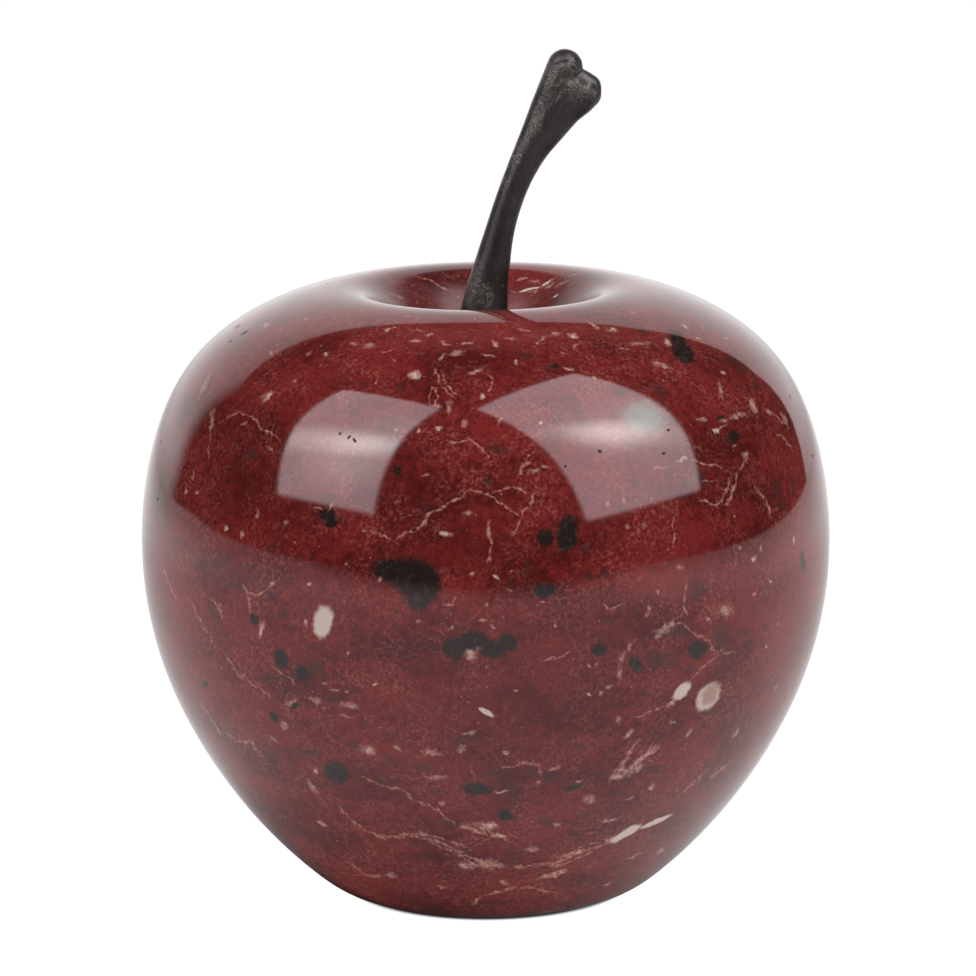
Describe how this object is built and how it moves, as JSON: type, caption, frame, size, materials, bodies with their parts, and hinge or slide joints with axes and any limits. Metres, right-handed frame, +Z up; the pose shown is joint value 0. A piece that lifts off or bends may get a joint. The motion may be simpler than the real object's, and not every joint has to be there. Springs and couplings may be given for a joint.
{
  "type": "stone apple ornament",
  "caption": "Solid apple turned and polished from red fossil marble, with a dimpled top, a flat foot and a curved dark metal stem.",
  "frame": {"origin": "centre of the flat foot, on the surface that the apple stands on", "axes": "+Z up the apple's turning axis, +X towards the side that the stem leans to, -Y towards the viewer"},
  "size_m": [0.076, 0.076, 0.0936],
  "materials": {
    "marble": "polished",
    "dark_metal": "satin",
    "cured_glue": "gloss"
  },
  "bodies": {
    "root": {"stone_body": "marble", "stem": "dark_metal", "stem_adhesive": "cured_glue"}
  },
  "joints": []
}
